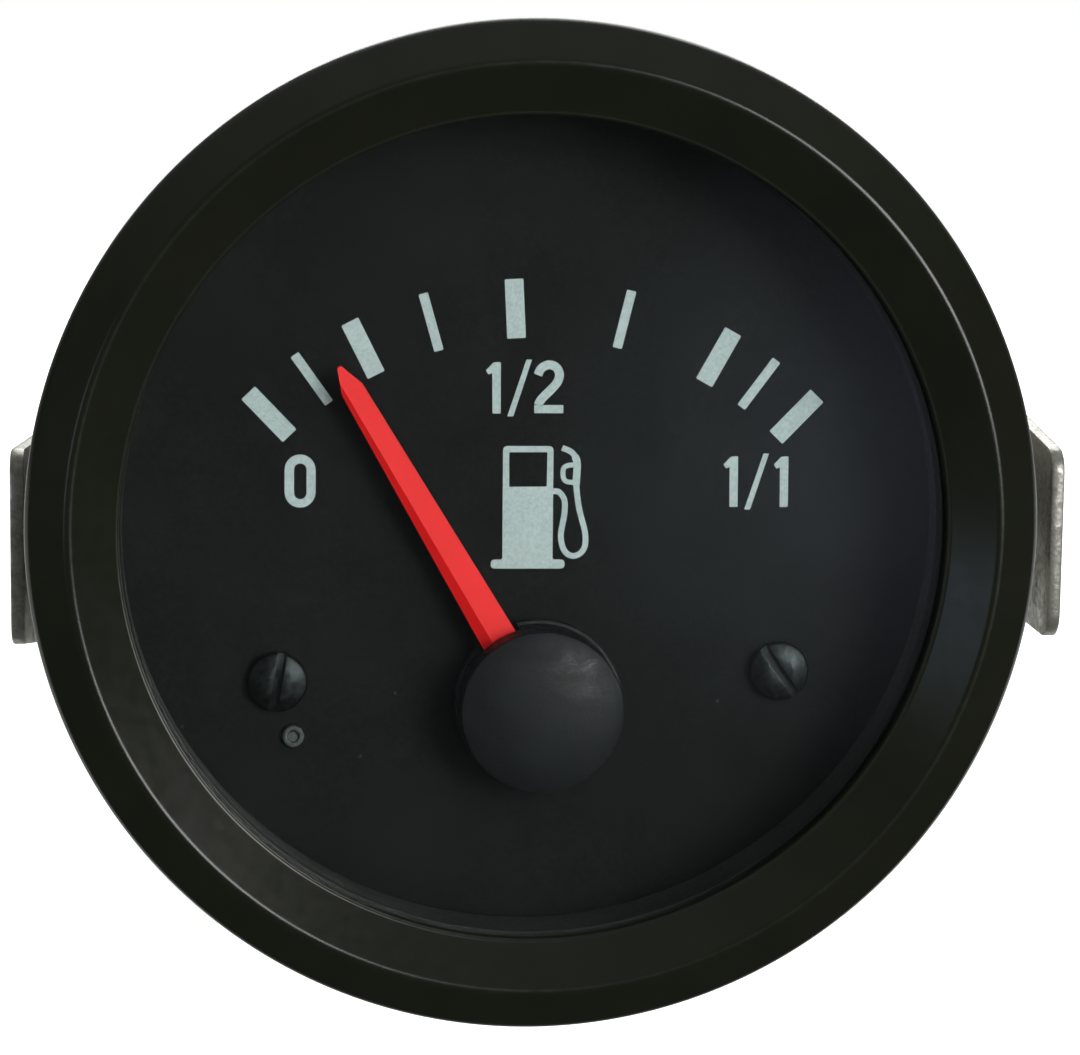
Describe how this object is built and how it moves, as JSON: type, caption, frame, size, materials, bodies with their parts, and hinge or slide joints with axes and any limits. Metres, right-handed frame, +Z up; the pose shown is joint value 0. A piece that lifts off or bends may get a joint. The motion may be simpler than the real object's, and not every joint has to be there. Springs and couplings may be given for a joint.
{
  "type": "panel fuel gauge",
  "caption": "Round panel fuel gauge for vehicles, with bezel, flat glass, red pointer, crossed-coil movement, blade terminals, lamp and U clamp with thumb nuts.",
  "frame": {"origin": "centre of the panel hole, in the plane where the bezel's rear rim meets the panel's face", "axes": "+Y into the panel, from the dial to the terminals; +Z up; +X to the right as the dial is read"},
  "size_m": [0.0612, 0.0586, 0.056],
  "materials": {
    "black_lacquer": "satin black stove enamel",
    "clear_glass": "clear flat glass",
    "seal_rubber": "matte",
    "black_plastic": "satin moulded",
    "black_dial": "matte black, sprayed",
    "black_steel": "blackened steel",
    "red_plastic": "satin moulded",
    "bare_brass": "plain",
    "bare_steel": "plain",
    "ferrite": "sintered",
    "white_nylon": "moulded",
    "enamelled_wire": "wound enamelled wire",
    "zinc_case": "zinc plated, dull",
    "zinc_plate": "zinc plated, mottled",
    "board_laminate": "resin-bonded paper",
    "resistor_green": "cement coated",
    "tinned_brass": "tinned",
    "lamp_glass": "clear"
  },
  "bodies": {
    "housing": {"bezel_ring": "black_lacquer", "lens_glass": "clear_glass", "lens_gasket": "seal_rubber", "reflector_ring": "black_plastic", "dial_plate": "black_dial", "dial_screw_left": "black_steel", "dial_screw_right": "black_steel", "dial_locating_pin": "black_steel", "front_bearing": "bare_brass", "rear_bearing": "bare_brass", "bobbin_front": "white_nylon", "bobbin_rear": "white_nylon", "inner_coil": "enamelled_wire", "outer_coil": "enamelled_wire", "shield_can": "bare_steel", "frame_plate": "bare_brass", "frame_screw_left": "bare_steel", "frame_screw_right": "bare_steel", "pillar_left": "bare_steel", "pillar_right": "bare_steel", "case_cup": "zinc_case", "stud_left": "zinc_plate", "stud_right": "zinc_plate", "stud_nut_left": "zinc_plate", "stud_nut_right": "zinc_plate", "circuit_board": "board_laminate", "series_resistor": "resistor_green", "terminal_insulator": "black_plastic", "terminal_supply": "tinned_brass", "terminal_sender": "tinned_brass", "terminal_ground": "tinned_brass"},
    "pointer_group": {"pointer": "red_plastic", "hub_cap": "black_plastic", "balance_weight": "bare_brass", "spindle": "bare_steel", "magnet_rotor": "ferrite"},
    "lamp": {"lamp_holder": "black_plastic", "lamp_bulb": "lamp_glass", "lamp_contact_left": "tinned_brass", "lamp_contact_right": "tinned_brass"},
    "clamp": {"clamp_bracket": "zinc_plate", "clamp_washer_left": "zinc_plate", "clamp_washer_right": "zinc_plate"},
    "nut_left": {"thumb_nut_left": "zinc_plate"},
    "nut_right": {"thumb_nut_right": "zinc_plate"}
  },
  "joints": [
    {"name": "pointer_swing", "type": "hinge", "parent": "housing", "child": "pointer_group", "pos_m": [0.0006, 0, -0.0105], "axis": [0, 1, 0], "range_deg": [-15, 76]},
    {"name": "lamp_twist", "type": "hinge", "parent": "housing", "child": "lamp", "pos_m": [0, 0.0381, 0.0143], "axis": [0, 1, 0], "range_deg": [0, 60]},
    {"name": "clamp_slide", "type": "slide", "parent": "housing", "child": "clamp", "axis": [0, 1, 0], "range_m": [-0.0037, 0.002]},
    {"name": "nut_left_turn", "type": "hinge", "parent": "clamp", "child": "nut_left", "pos_m": [-0.01772, 0.0466, -0.00205], "axis": [0, 1, 0], "range_deg": [-1902.9, 1028.6]},
    {"name": "nut_right_turn", "type": "hinge", "parent": "clamp", "child": "nut_right", "pos_m": [0.01772, 0.0466, -0.00205], "axis": [0, 1, 0], "range_deg": [-1902.9, 1028.6]}
  ],
  "couplings": [
    {"joint": "nut_left_turn", "follows": "clamp_slide", "rad_per_m": 8976},
    {"joint": "nut_right_turn", "follows": "clamp_slide", "rad_per_m": 8976}
  ]
}
